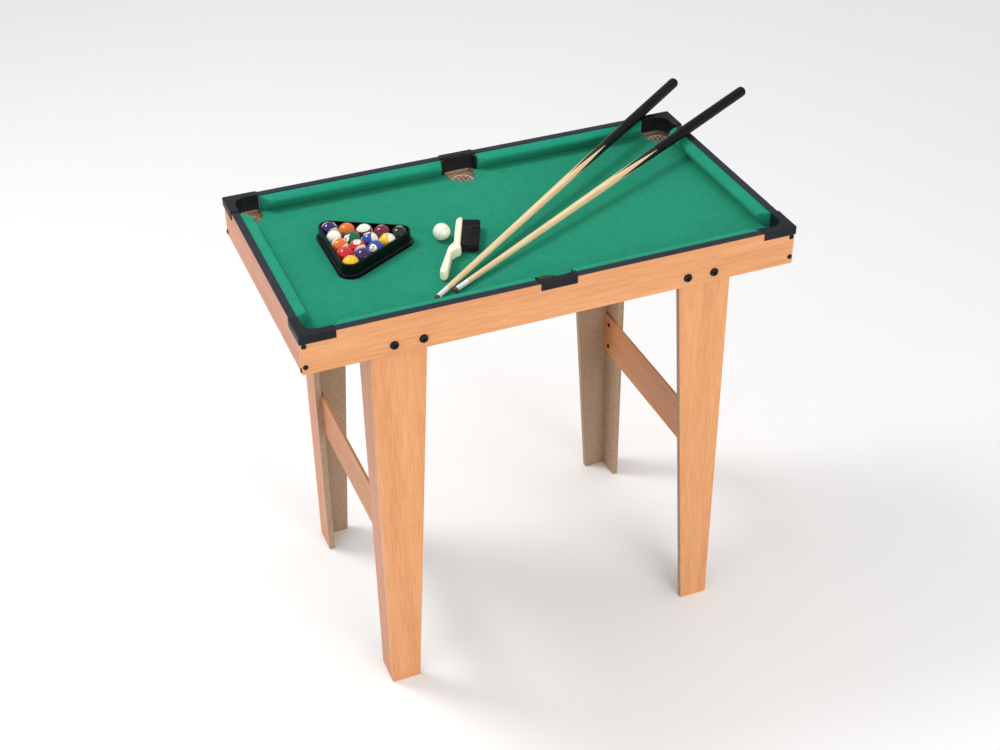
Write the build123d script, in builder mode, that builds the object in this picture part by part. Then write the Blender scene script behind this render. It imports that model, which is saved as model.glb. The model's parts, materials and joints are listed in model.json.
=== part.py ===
from build123d import *
import os
from math import cos, radians, sin, sqrt

os.makedirs("parts", exist_ok=True)

# Mini pool table. Origin on the floor under the middle of the table, +X along it, +Z up, mm.
table_length = 920
table_width = 510
table_height = 840  # floor to the top of the apron boards
board = 12  # thickness of the apron, leg and stretcher boards
apron_height = 74
rail_drop = 28  # top of the aprons down to the cloth
bed_thickness = 9
cloth_thickness = 1
groove_depth = 4  # the bed board slides into grooves in the aprons
edge_break = 0.8  # small chamfer on the long edges of the boards

pocket_radius = 27  # cut-out in the bed
cushion_width = 24
cushion_nose = 20  # height of the nose over the cloth
trim_thickness = 1
trim_inset = 2  # the strips on the aprons also cover the top edge of the cushions
trim_gap = 0.3

cap_overhang = 2  # the plastic caps stand this far outside the aprons
cap_plate = 2.5
cap_arm = 64
cap_arm_width = 17
cap_skirt = 13
liner_wall = 1.8
side_cap_half = 33.5
side_cap_flare = 4

leg_outer_x = 340
leg_top_width = 104
leg_foot_width = 56
leg_side_top = 70  # depth of the L, front face to the rear edge, at the top
leg_side_foot = 62
stretcher_low = 312
stretcher_height = 94
stretcher_thickness = 5

bolt_inset = (160, 212)  # from the ends of the table
bolt_rise = 19  # over the lower edge of the apron
bolt_radius = 3
bolt_head_radius = 8
screw_radius = 2
screw_head_radius = 4.6

ball_radius = 16
ball_gap = 0.4  # between racked balls
rest_gap = 0.2  # between a loose piece and the cloth under it
rack_middle = (-269.5, 19)
rack_turn = -30
rack_height = 26
rack_wall = 3.2
rack_flange = 5.5
rack_flange_height = 7
cue_ball_place = (-121.5, -1)

cue_length = 900
cue_joint = 590  # the maple shaft ends here, measured from the tip
sleeve_start = 675
cue_ferrule = (6, 34)  # ferrule runs between these lengths
cue_radii = {"tip": 4.6, "shaft_end": 8.8, "butt": 10.4}

brush_place = (-92.5, -10)
brush_turn = 66.7  # direction of the brush's head
brush_width = 22

# Levels and lines that follow from them.
cloth_top = table_height - rail_drop
bed_top = cloth_top - cloth_thickness
bed_bottom = bed_top - bed_thickness
apron_bottom = table_height - apron_height
half_length = table_length / 2
half_width = table_width / 2
inner_x = half_length - board
inner_y = half_width - board
stretcher_inner = leg_outer_x - board - stretcher_thickness
corner_x = inner_x - cushion_width  # centres of the corner pockets
corner_y = inner_y - cushion_width
side_y = inner_y - pocket_radius  # centres of the side pockets
corner_pockets = [(sx * corner_x, sy * corner_y) for sx in (-1, 1) for sy in (-1, 1)]
side_pockets = [(0, sy * side_y) for sy in (-1, 1)]
ends = {"left": -1, "right": 1}
sides = {"front": -1, "back": 1}
upwards = (Align.CENTER, Align.CENTER, Align.MIN)
downwards = (Align.CENTER, Align.CENTER, Align.MAX)


def save(piece, name):
    piece.part.label = name
    export_step(piece.part, f"parts/{name}.step")


# Fasteners: one of each kind, head up, then every place where it is driven.
def driven(x, y, z, out):
    return Plane(origin=(x, y, z), z_dir=out).location


leg_bolt_places = [
    driven(sx * (half_length - inset), sy * half_width, apron_bottom + bolt_rise, (0, sy, 0))
    for sx in (-1, 1)
    for sy in (-1, 1)
    for inset in bolt_inset
]
long_screw_places = [
    driven(sx * (half_length - board / 2), sy * half_width, level, (0, sy, 0))
    for sx in (-1, 1)
    for sy in (-1, 1)
    for level in (apron_bottom + 15, table_height - cap_skirt - 5.2)
] + [
    driven(sx * half_length, sy * (half_width - board / 2), apron_bottom + 7, (sx, 0, 0))
    for sx in (-1, 1)
    for sy in (-1, 1)
]
short_screw_places = [
    driven(sx * stretcher_inner, sy * (inner_y - 32), stretcher_low + rise, (-sx, 0, 0))
    for sx in (-1, 1)
    for sy in (-1, 1)
    for rise in (20, stretcher_height - 20)
]
long_screw = 36
short_screw = 14
bolt_length = 34


def drill(places, radius, depth):
    with Locations(*places):
        Cylinder(radius, depth, align=downwards, mode=Mode.SUBTRACT)


def drill_screws():
    drill(long_screw_places, screw_radius, long_screw)
    drill(short_screw_places, screw_radius, short_screw)


def pan_head(head_radius, head_height, shank_radius, shank_length, recess):
    with BuildPart() as screw:
        Cylinder(head_radius, head_height, align=upwards)
        fillet(screw.faces().sort_by(Axis.Z)[-1].edges(), head_height * 0.8)
        for length, width in ((recess, recess / 4), (recess / 4, recess)):
            with Locations((0, 0, head_height)):
                Box(length, width, head_height, mode=Mode.SUBTRACT)
        Cylinder(shank_radius, shank_length, align=downwards)
    return screw.part


with BuildPart() as leg_bolts:
    with Locations(*leg_bolt_places):
        add(pan_head(bolt_head_radius, 4, bolt_radius, bolt_length, 8))
save(leg_bolts, "leg_bolts")

with BuildPart() as wood_screws:
    with Locations(*long_screw_places):
        add(pan_head(screw_head_radius, 1.8, screw_radius, long_screw, 4))
    with Locations(*short_screw_places):
        add(pan_head(screw_head_radius, 1.8, screw_radius, short_screw, 4))
save(wood_screws, "wood_screws")


def hex_nut(across_flats, thickness, bore):
    with BuildPart() as nut:
        with BuildSketch(Plane.XY.offset(-2 * board - thickness)):
            RegularPolygon(across_flats / 2, 6, major_radius=False)
            Circle(bore, mode=Mode.SUBTRACT)
        extrude(amount=thickness)
    return nut.part


with BuildPart() as leg_nuts:
    with Locations(*leg_bolt_places):
        add(hex_nut(10, 5, bolt_radius + 0.05))
save(leg_nuts, "leg_nuts")


# Aprons: the front and back boards run the full length and cover the ends of the side boards.
for side, sy in sides.items():
    with BuildPart() as apron:
        with BuildSketch(Plane.XY.offset(apron_bottom)):
            with Locations((0, sy * (half_width - board / 2))):
                Rectangle(table_length, board)
        extrude(amount=apron_height)
        outer = apron.faces().sort_by(Axis.Y)[0 if sy < 0 else -1]
        chamfer(outer.edges(), edge_break)
        with BuildSketch(Plane.XY.offset(bed_bottom)):
            with Locations((0, sy * (inner_y + groove_depth / 2))):
                Rectangle(2 * inner_x, groove_depth)
        extrude(amount=bed_thickness, mode=Mode.SUBTRACT)
        drill(leg_bolt_places, bolt_radius, bolt_length)
        drill_screws()
    save(apron, f"apron_{side}")

for end, sx in ends.items():
    with BuildPart() as apron:
        with BuildSketch(Plane.XY.offset(apron_bottom)):
            with Locations((sx * (half_length - board / 2), 0)):
                Rectangle(board, 2 * inner_y)
        extrude(amount=apron_height)
        outer = apron.faces().sort_by(Axis.X)[0 if sx < 0 else -1]
        chamfer(outer.edges().filter_by(Axis.Y), edge_break)
        with BuildSketch(Plane.XY.offset(bed_bottom)):
            with Locations((sx * (inner_x + groove_depth / 2), 0)):
                Rectangle(groove_depth, 2 * inner_y)
        extrude(amount=bed_thickness, mode=Mode.SUBTRACT)
        drill_screws()
    save(apron, f"apron_{end}")


# Bed board and its cloth, cut out at the six pockets.
def cut_pockets():
    reach = 2 * pocket_radius
    for x, y in corner_pockets:
        sx, sy = (1 if x > 0 else -1), (1 if y > 0 else -1)
        with Locations((x, y)):
            Circle(pocket_radius, mode=Mode.SUBTRACT)
        beyond_x, beyond_y = x + sx * pocket_radius, y + sy * pocket_radius
        with Locations((beyond_x, y), (x, beyond_y), (beyond_x, beyond_y)):
            Rectangle(reach, reach, mode=Mode.SUBTRACT)
    for x, y in side_pockets:
        sy = 1 if y > 0 else -1
        with Locations((x, y)):
            Circle(pocket_radius, mode=Mode.SUBTRACT)
        with Locations((x, y + sy * pocket_radius)):
            Rectangle(reach, reach, mode=Mode.SUBTRACT)


with BuildPart() as bed_board:
    with BuildSketch(Plane.XY.offset(bed_bottom)):
        Rectangle(2 * (inner_x + groove_depth), 2 * (inner_y + groove_depth))
        cut_pockets()
    extrude(amount=bed_thickness)
save(bed_board, "bed_board")

with BuildPart() as bed_cloth:
    with BuildSketch(Plane.XY.offset(bed_top)):
        Rectangle(2 * inner_x, 2 * inner_y)
        cut_pockets()
    extrude(amount=cloth_thickness)
save(bed_cloth, "bed_cloth")


# Cushions: one section, run along the rail and cut on the slant at the pockets.
def section_points(wall, sign):
    nose = wall - cushion_width
    heights = [
        (wall, cloth_top),
        (nose + 10, cloth_top),
        (nose, cloth_top + cushion_nose - 2),
        (nose, cloth_top + cushion_nose + 1),
        (nose + 3, cloth_top + rail_drop - 4),
        (wall, cloth_top + rail_drop),
    ]
    return [(sign * across, level) for across, level in heights]


def cushion(name, section_plane, section, plan):
    with BuildPart() as strip:
        with BuildSketch(section_plane):
            Polygon(*section, align=None)
        extrude(amount=half_length, both=True)
        with BuildSketch(Plane.XY.offset(cloth_top)):
            Polygon(*plan, align=None)
        extrude(amount=rail_drop, mode=Mode.INTERSECT)
    save(strip, name)


mouth_back = 27  # cushion ends, from the pocket centres: at the apron and at the nose
mouth_nose = 42
side_mouth_back = 34
side_mouth_nose = 40
for side, sy in sides.items():
    for end, sx in ends.items():
        plan = [
            (sx * side_mouth_back, sy * inner_y),
            (sx * side_mouth_nose, sy * corner_y),
            (sx * (corner_x - mouth_nose), sy * corner_y),
            (sx * (corner_x - mouth_back), sy * inner_y),
        ]
        cushion(f"cushion_{side}_{end}", Plane.YZ, section_points(inner_y, sy), plan)
for end, sx in ends.items():
    plan = [
        (sx * inner_x, -(corner_y - mouth_back)),
        (sx * corner_x, -(corner_y - mouth_nose)),
        (sx * corner_x, corner_y - mouth_nose),
        (sx * inner_x, corner_y - mouth_back),
    ]
    cushion(f"cushion_{end}", Plane.XZ, section_points(inner_x, sx), plan)


# Corner caps: an L-shaped plate on the aprons, a skirt outside and a curved liner inside.
cap_x = half_length + cap_overhang
cap_y = half_width + cap_overhang
liner_radius = cushion_width - 0.2
liner_reach = mouth_back - 0.3
plate_bite = liner_radius - liner_wall - 1  # the plate just covers the top of the liner


def liner_face(sx, sy, radius, reach):
    x, y = sx * corner_x, sy * corner_y
    along_x, along_y = (x, y + sy * radius), (x + sx * radius, y)
    middle = (x + sx * radius / sqrt(2), y + sy * radius / sqrt(2))
    near_x, near_y = x - sx * reach, y - sy * reach
    with BuildSketch(mode=Mode.PRIVATE) as face:
        with BuildLine():
            Polyline(along_x, (near_x, along_x[1]), (near_x, near_y), (along_y[0], near_y), along_y)
            ThreePointArc(along_y, middle, along_x)
        make_face()
    return face.sketch


def corner_square(sx, sy, size, far_x, far_y, mode):
    with Locations((sx * (far_x - size / 2), sy * (far_y - size / 2))):
        Rectangle(size, size, mode=mode)


def corner_cap(sx, sy):
    beyond = 2 * cap_arm
    with BuildPart() as cap:
        with BuildSketch(Plane.XY.offset(table_height)):
            corner_square(sx, sy, cap_arm, cap_x, cap_y, Mode.ADD)
            inside = (cap_x - cap_arm_width, cap_y - cap_arm_width)
            corner_square(sx, sy, beyond, *inside, Mode.SUBTRACT)
            corner_square(sx, sy, cap_x - corner_x, cap_x, corner_y + cap_x - corner_x, Mode.ADD)
            with Locations((sx * corner_x, sy * corner_y)):
                Circle(plate_bite, mode=Mode.SUBTRACT)
        extrude(amount=cap_plate)
        with BuildSketch(Plane.XY.offset(table_height - cap_skirt)):
            corner_square(sx, sy, cap_arm, cap_x, cap_y, Mode.ADD)
            corner_square(sx, sy, beyond, half_length, half_width, Mode.SUBTRACT)
        extrude(amount=cap_skirt)
        fillet(cap.edges().filter_by(Axis.Z).sort_by_distance((sx * cap_x, sy * cap_y, 0))[0], 1.5)
        chamfer(cap.faces().filter_by(Axis.Z).sort_by(Axis.Z)[-1].outer_wire().edges(), 0.6)
        with BuildSketch(Plane.XY.offset(cloth_top)):
            add(liner_face(sx, sy, liner_radius, liner_reach))
            add(liner_face(sx, sy, liner_radius - liner_wall, beyond), mode=Mode.SUBTRACT)
        extrude(amount=rail_drop)
    return cap


for side, sy in sides.items():
    for end, sx in ends.items():
        save(corner_cap(sx, sy), f"cap_{side}_{end}")


# Side caps: a plate that flares inwards, a skirt, and a shallow curved liner with two ears.
def side_cap(sy):
    inner_edge = cap_y - cap_arm_width
    dip = inner_y + 0.6
    flare = side_cap_half + side_cap_flare
    horn = flare - 5
    with BuildPart() as cap:
        with BuildSketch(Plane.XY.offset(table_height)):
            with BuildLine():
                Polyline(
                    (horn, sy * inner_edge),
                    (flare, sy * inner_edge),
                    (side_cap_half, sy * cap_y),
                    (-side_cap_half, sy * cap_y),
                    (-flare, sy * inner_edge),
                    (-horn, sy * inner_edge),
                )
                ThreePointArc((-horn, sy * inner_edge), (0, sy * dip), (horn, sy * inner_edge))
            make_face()
        extrude(amount=cap_plate)
        with BuildSketch(Plane.XY.offset(table_height - cap_skirt)):
            with Locations((0, sy * (half_width + cap_overhang / 2))):
                Rectangle(2 * side_cap_half, cap_overhang)
        extrude(amount=cap_skirt)
        chamfer(cap.faces().filter_by(Axis.Z).sort_by(Axis.Z)[-1].outer_wire().edges(), 0.6)
        with BuildSketch(Plane.XY.offset(cloth_top)):
            for inset, mode in ((0, Mode.ADD), (liner_wall, Mode.SUBTRACT)):
                ear = (side_mouth_back + 1 - inset, inner_y - 13 - 2 * inset)
                shoulder = (side_mouth_back - 3.5 - inset, inner_y - 3.5 - inset / 2)
                with BuildLine():
                    Polyline(
                        (shoulder[0], sy * shoulder[1]),
                        (ear[0], sy * ear[1]),
                        (-ear[0], sy * ear[1]),
                        (-shoulder[0], sy * shoulder[1]),
                    )
                    ThreePointArc(
                        (-shoulder[0], sy * shoulder[1]),
                        (0, sy * (inner_y - 0.2 - inset)),
                        (shoulder[0], sy * shoulder[1]),
                    )
                make_face(mode=mode)
        extrude(amount=rail_drop)
    return cap


for side, sy in sides.items():
    save(side_cap(sy), f"cap_{side}_middle")


# Black strips on top of the aprons, between the caps.
with BuildPart() as rail_trims:
    with BuildSketch(Plane.XY.offset(table_height)):
        near, far = inner_y - trim_inset, half_width
        slant = side_cap_flare / cap_arm_width
        starts = [side_cap_half + slant * (cap_y - y) + trim_gap for y in (near, far)]
        stop = cap_x - cap_arm - trim_gap
        for sx in ends.values():
            for sy in sides.values():
                Polygon(
                    (sx * starts[0], sy * near),
                    (sx * stop, sy * near),
                    (sx * stop, sy * far),
                    (sx * starts[1], sy * far),
                    align=None,
                )
        with GridLocations(table_length - board - trim_inset, 0, 2, 1):
            Rectangle(board + trim_inset, 2 * (cap_y - cap_arm - trim_gap))
    extrude(amount=trim_thickness)
save(rail_trims, "rail_trims")


# Pocket nets: a short bag with a flange stapled under the bed.
net_radius = 22
net_wall = 1.2
net_depth = 33
net_flange = 29
net_round = 12  # outer rounding of the bag's bottom
net_slope = (11, 9)  # inner slope of the bottom: height and reach
net_mouths = [(x, y, bed_bottom) for x, y in corner_pockets + side_pockets]
net_floors = [(x, y, bed_bottom - net_depth + net_wall) for x, y, _ in net_mouths]
with BuildPart() as pocket_nets:
    with Locations(*net_mouths):
        Cylinder(net_flange, net_wall, align=downwards)
        Cylinder(net_radius + net_wall, net_depth, align=downwards)
    with BuildSketch(Plane.XY.offset(bed_bottom)):
        Rectangle(2 * inner_x - 0.4, 2 * inner_y - 0.4)
    extrude(amount=-net_depth, mode=Mode.INTERSECT)
    bottoms = pocket_nets.faces().filter_by(Axis.Z).group_by(Axis.Z)[0]
    fillet(bottoms.edges(), net_round)
    rise, reach = net_slope
    with Locations(*net_mouths):
        Cylinder(net_radius, net_depth - net_wall - rise, align=downwards, mode=Mode.SUBTRACT)
    with Locations(*net_floors):
        Cone(net_radius - reach, net_radius, rise, align=upwards, mode=Mode.SUBTRACT)
save(pocket_nets, "pocket_nets")


# Legs: a wide board behind the apron and a side board behind that, in an L, both tapered.
def leg_board(name, section_plane, points, thickness, drills):
    with BuildPart() as leg:
        with BuildSketch(section_plane):
            Polygon(*points, align=None)
        extrude(amount=thickness)
        for places, radius, depth in drills:
            drill(places, radius, depth)
    save(leg, name)


for side, sy in sides.items():
    for end, sx in ends.items():
        wide = [
            (sx * leg_outer_x, 0),
            (sx * (leg_outer_x - leg_foot_width), 0),
            (sx * (leg_outer_x - leg_top_width), bed_bottom),
            (sx * leg_outer_x, bed_bottom),
        ]
        front_plane = Plane.XZ.offset(-sy * inner_y if sy > 0 else inner_y - board)
        leg_board(
            f"leg_{side}_{end}_wide",
            front_plane,
            wide,
            board,
            [(leg_bolt_places, bolt_radius, bolt_length)],
        )
        narrow = [
            (sy * (inner_y - board), 0),
            (sy * (inner_y - leg_side_foot), 0),
            (sy * (inner_y - leg_side_top), bed_bottom),
            (sy * (inner_y - board), bed_bottom),
        ]
        side_plane = Plane.YZ.offset(leg_outer_x - board if sx > 0 else -leg_outer_x)
        leg_board(
            f"leg_{side}_{end}_side",
            side_plane,
            narrow,
            board,
            [(short_screw_places, screw_radius, short_screw)],
        )

for end, sx in ends.items():
    with BuildPart() as stretcher:
        with BuildSketch(Plane.XY.offset(stretcher_low)):
            with Locations((sx * (stretcher_inner + stretcher_thickness / 2), 0)):
                Rectangle(stretcher_thickness, 2 * (inner_y - board))
        extrude(amount=stretcher_height)
        drill(short_screw_places, screw_radius, short_screw)
    save(stretcher, f"stretcher_{end}")


# Balls: five rows in the triangle, and the cue ball.
rest_level = cloth_top + rest_gap
pitch = 2 * ball_radius + ball_gap
rack_along = (cos(radians(rack_turn)), sin(radians(rack_turn)), 0)
rack_plane = Plane(origin=(*rack_middle, rest_level), x_dir=rack_along)
row_step = pitch * sqrt(3) / 2
rack_rows = [(12, 5, 15, 7, 8), (14, 6, 10, 9), (13, 11, 2), (3, 4), (1,)]
for row, numbers in enumerate(rack_rows):
    for place, number in enumerate(numbers):
        across = (place - (len(numbers) - 1) / 2) * pitch
        up = (4 / 3 - row) * row_step
        with BuildPart(rack_plane) as ball:
            with Locations((across, up, ball_radius)):
                Sphere(ball_radius)
        save(ball, f"ball_{number:02d}")

with BuildPart() as cue_ball:
    with Locations((*cue_ball_place, rest_level + ball_radius)):
        Sphere(ball_radius)
save(cue_ball, "cue_ball")


# Triangle rack: a rounded wall with a flange round its foot, open at the top and the bottom.
def rounded_triangle(grow):
    back = 4 / 3 * row_step
    with BuildSketch(mode=Mode.PRIVATE) as face:
        Polygon((-2 * pitch, back), (2 * pitch, back), (0, -2 * back), align=None)
        offset(amount=ball_radius + ball_gap + grow, kind=Kind.ARC)
    return face.sketch


with BuildPart(rack_plane) as triangle_rack:
    with BuildSketch(rack_plane):
        add(rounded_triangle(rack_wall))
    extrude(amount=rack_height)
    fillet(triangle_rack.faces().sort_by(Axis.Z)[-1].edges(), 1.2)
    with BuildSketch(rack_plane):
        add(rounded_triangle(rack_wall + rack_flange))
    extrude(amount=rack_flange_height / 2)
    with BuildSketch(rack_plane):
        add(rounded_triangle(rack_wall + rack_flange))
    extrude(amount=rack_flange_height, taper=40)
    with BuildSketch(rack_plane):
        add(rounded_triangle(0))
    extrude(amount=rack_height, mode=Mode.SUBTRACT)
save(triangle_rack, "triangle_rack")


# Cues: each lies with its tip on the cloth and its butt on the rail. Lengths run from the tip.
cue_tips = {"cue_1": (-202, -193), "cue_2": (-165, -182)}
cue_rests = {"cue_1": (397.6, 250), "cue_2": (455, 151)}
ferrule_low, ferrule_high = cue_ferrule
tip_radius, butt_radius = cue_radii["tip"], cue_radii["butt"]
taper = (cue_radii["shaft_end"] - tip_radius) / cue_joint
cap_top = table_height + cap_plate
for cue, (tip_x, tip_y) in cue_tips.items():
    rest_x, rest_y = cue_rests[cue]
    run = sqrt((rest_x - tip_x) ** 2 + (rest_y - tip_y) ** 2)
    tip_level = cloth_top + tip_radius + 2 * rest_gap
    rest_height = cap_top + butt_radius + 3 * rest_gap
    axis = (rest_x - tip_x, rest_y - tip_y, rest_height - tip_level)
    cue_plane = Plane(origin=(tip_x, tip_y, tip_level), z_dir=axis, x_dir=(-axis[1], axis[0], 0))
    with BuildPart(cue_plane) as tip:
        Cylinder(tip_radius - 0.1, ferrule_low, align=upwards)
        fillet(tip.edges().filter_by(GeomType.CIRCLE).sort_by_distance(cue_plane.origin)[0], 2)
    save(tip, f"{cue}_tip")

    with BuildPart(cue_plane) as ferrule:
        with Locations((0, 0, ferrule_low)):
            Cone(
                tip_radius + taper * ferrule_low,
                tip_radius + taper * ferrule_high,
                ferrule_high - ferrule_low,
                align=upwards,
            )
    save(ferrule, f"{cue}_ferrule")

    with BuildPart(cue_plane) as shaft:
        with Locations((0, 0, ferrule_high)):
            Cone(
                tip_radius + taper * ferrule_high,
                cue_radii["shaft_end"],
                cue_joint - ferrule_high,
                align=upwards,
            )
    save(shaft, f"{cue}_shaft")

    with BuildPart(cue_plane) as butt:
        with Locations((0, 0, cue_joint)):
            Cone(cue_radii["shaft_end"], butt_radius - 0.4, sleeve_start - cue_joint, align=upwards)
        with Locations((0, 0, sleeve_start)):
            Cylinder(butt_radius, cue_length - sleeve_start, align=upwards)
        butt_end = butt.edges().filter_by(GeomType.CIRCLE).sort_by_distance(cue_plane.origin)[-1]
        fillet(butt_end, 9)
    save(butt, f"{cue}_butt")


# Brush, lying on its side: x runs along the bristles and y along the head.
brush_x = radians(brush_turn - 90)
brush_plane = Plane(origin=(*brush_place, rest_level), x_dir=(cos(brush_x), sin(brush_x), 0))
head_half = 6.5  # the head is 13 thick, and the handle hooks back at its end
handle_points = [
    (head_half, 42),
    (head_half, -56),
    (9.5, -65),
    (0, -71),
    (-7, -82),
    (-11, -144),
    (-18, -153),
    (-26, -144),
    (-24, -128),
    (-15, -62),
    (-head_half, -46),
    (-head_half, 34),
    (0, 45),
]
with BuildPart(brush_plane) as brush_handle:
    with BuildSketch(brush_plane) as handle_outline:
        Polygon(*handle_points, align=None)
        fillet(handle_outline.vertices(), 3.2)
    extrude(amount=brush_width)
    flats = brush_handle.faces().filter_by(Axis.Z)
    fillet(flats.edges(), 2.6)
save(brush_handle, "brush_handle")

bristle_length = 33
bristle_span = (-52, 39)
bristle_inset = 3.5
with BuildPart(brush_plane) as brush_bristles:
    with Locations((head_half, (bristle_span[0] + bristle_span[1]) / 2, bristle_inset)):
        Box(
            bristle_length,
            bristle_span[1] - bristle_span[0],
            brush_width - 2 * bristle_inset,
            align=(Align.MIN, Align.CENTER, Align.MIN),
        )
save(brush_bristles, "brush_bristles")
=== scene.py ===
import json
from math import atan2, cos, pi, radians, sin, tan

import bmesh
import bpy
from mathutils import Matrix, Vector
from mathutils.geometry import tessellate_polygon


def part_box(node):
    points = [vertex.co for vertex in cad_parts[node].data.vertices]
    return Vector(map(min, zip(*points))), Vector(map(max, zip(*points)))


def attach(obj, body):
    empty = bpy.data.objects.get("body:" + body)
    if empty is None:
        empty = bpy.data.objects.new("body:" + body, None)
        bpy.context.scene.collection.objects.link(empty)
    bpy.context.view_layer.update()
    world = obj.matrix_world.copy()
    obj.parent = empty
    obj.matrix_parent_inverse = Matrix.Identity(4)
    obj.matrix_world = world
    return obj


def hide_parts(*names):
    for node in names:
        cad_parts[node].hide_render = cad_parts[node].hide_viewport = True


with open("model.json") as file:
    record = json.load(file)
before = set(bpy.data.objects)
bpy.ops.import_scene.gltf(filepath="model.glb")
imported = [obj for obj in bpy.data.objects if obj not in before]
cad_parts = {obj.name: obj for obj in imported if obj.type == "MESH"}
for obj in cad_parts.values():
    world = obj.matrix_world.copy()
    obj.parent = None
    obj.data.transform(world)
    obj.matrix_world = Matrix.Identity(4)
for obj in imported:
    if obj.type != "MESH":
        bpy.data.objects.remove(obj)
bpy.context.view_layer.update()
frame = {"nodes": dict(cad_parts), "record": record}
openings = frame["record"]["physics"]["openings"]


# One socket, in a shader or a geometry tree, that can be used in an expression.
class Wire:
    def __init__(self, socket):
        self.socket = socket

    def node(self, kind, settings=None, values=None, out=0):
        return addNode(self.socket.id_data, kind, settings, values, out)

    def math(self, operation, *others):
        values = {place: other for place, other in enumerate((self, *others))}
        return self.node("ShaderNodeMath", {"operation": operation}, values)

    def part(self, axis):
        return self.node("ShaderNodeSeparateXYZ", {}, {0: self}, axis)

    def __add__(self, other):
        return self.math("ADD", other)

    def __sub__(self, other):
        return self.math("SUBTRACT", other)

    def __rsub__(self, other):
        return (self * -1) + other

    def __mul__(self, other):
        return self.math("MULTIPLY", other)

    def __truediv__(self, other):
        return self.math("DIVIDE", other)

    def __gt__(self, other):
        return self.math("GREATER_THAN", other)

    def __abs__(self):
        return self.math("ABSOLUTE")

    __radd__ = __add__
    __rmul__ = __mul__


def addNode(tree, kind, settings=None, values=None, out=0):
    made = tree.nodes.new(kind)
    for name, value in (settings or {}).items():
        if name == "stops":
            ramp = made.color_ramp.elements
            while len(ramp) < len(value):
                ramp.new(0.5)
            for stop, (spot, shade) in zip(ramp, value):
                stop.position, stop.color = spot, (*shade, 1) if len(shade) == 3 else shade
        else:
            setattr(made, name, value)
    for name, value in (values or {}).items():
        spot = made.inputs[name]
        if isinstance(value, Wire):
            tree.links.new(value.socket, spot)
        else:
            spot.default_value = value
    return Wire(made.outputs[out])


# Finishes. Each starts from a Principled shader with its fixed values and Object coordinates.
def newFinish(name, fixed):
    finish = bpy.data.materials.new(name)
    finish.use_nodes = True
    shader = finish.node_tree.nodes["Principled BSDF"]
    for socket, value in fixed.items():
        shader.inputs[socket].default_value = value
    place = addNode(finish.node_tree, "ShaderNodeTexCoord", out="Object")
    return finish, shader, place


def feed(shader, **varying):
    for name, wire in varying.items():
        socket = shader.inputs[name.replace("_", " ")]
        shader.id_data.links.new(wire.socket, socket)


def stretched(place, scale):
    return place.node("ShaderNodeMapping", {}, {"Vector": place, "Scale": scale})


def noise(place, scale, detail=3, rough=0.55, warp=0):
    values = {"Vector": place, "Scale": scale, "Detail": detail, "Roughness": rough, "Distortion": warp}
    return place.node("ShaderNodeTexNoise", {}, values)


def shades(factor, *stops):
    return factor.node("ShaderNodeValToRGB", {"stops": stops}, {0: factor})


def mixed(factor, first, second):
    values = {0: factor, 6: first, 7: second}
    return factor.node("ShaderNodeMix", {"data_type": "RGBA"}, values, 2)


def span(wire, low, high, toLow=0, toHigh=1):
    values = {"Value": wire, 1: low, 2: high, 3: toLow, 4: toHigh}
    return wire.node("ShaderNodeMapRange", {}, values)


def bump(height, distance, strength=1):
    return height.node("ShaderNodeBump", {}, {"Height": height, "Distance": distance, "Strength": strength})


# Fibreboard with a printed beech foil: foil on the faces that the masks pick, raw board elsewhere.
foilTones = {
    "light": (0.745, 0.375, 0.170),
    "middle": (0.680, 0.305, 0.125),
    "dark": (0.540, 0.215, 0.080),
    "pore": (0.37, 0.145, 0.06, 1),
    "board": (0.30, 0.185, 0.115, 1),
    "boardLight": (0.50, 0.355, 0.245, 1),
}
# Darker, pinker copy of the foil tones for the boards that face the ends: painted shade on faces turned away
# from the front light.
endPaintedShadeTones = {
    **foilTones, "light": (0.640, 0.295, 0.170), "middle": (0.570, 0.240, 0.130), "dark": (0.44, 0.17, 0.09),
}
# Darker copy of the foil tones for the stretchers: painted shade where they sit low under the table top.
underTopPaintedShadeTones = {
    **foilTones, "light": (0.60, 0.270, 0.115), "middle": (0.53, 0.215, 0.085), "dark": (0.40, 0.15, 0.055),
}


# faces lists (axis, limit): foil lies where the distance from the middle is past the limit.
def laminate(name, faces, grain, tones=foilTones):
    finish, shader, place = newFinish(name, {"Specular IOR Level": 0.36})
    along = stretched(place, grain)
    figure = noise(along, 2.6, 3, 0.5, 0.25)
    streaks = noise(along, 22, 4, 0.62)
    pores = noise(along, 104, 2, 0.6)
    base = shades(
        figure * 0.45 + streaks * 0.55,
        (0.33, tones["light"]),
        (0.51, tones["middle"]),
        (0.74, tones["dark"]),
    )
    flecked = mixed(span(pores, 0.60, 0.75, 0, 0.30), base, tones["pore"])
    fibres = noise(place, 900, 4, 0.75)
    clumps = noise(place, 160, 3, 0.6)
    board = mixed(span(fibres * 0.6 + clumps * 0.4, 0.36, 0.66), tones["board"], tones["boardLight"])
    faced = None
    for axis, limit in faces:
        mask = abs(place.part(axis)) > limit
        faced = mask if faced is None else faced.math("MAXIMUM", mask)
    rough = span(streaks, 0.3, 0.7, 0.40, 0.50)
    feed(shader, Base_Color=mixed(faced, board, flecked))
    feed(shader, Roughness=faced * rough + (1 - faced) * 0.85)
    height = faced * (pores * 0.25) + (1 - faced) * fibres
    feed(shader, Normal=bump(height, 0.0002, 0.35))
    return finish


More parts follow.
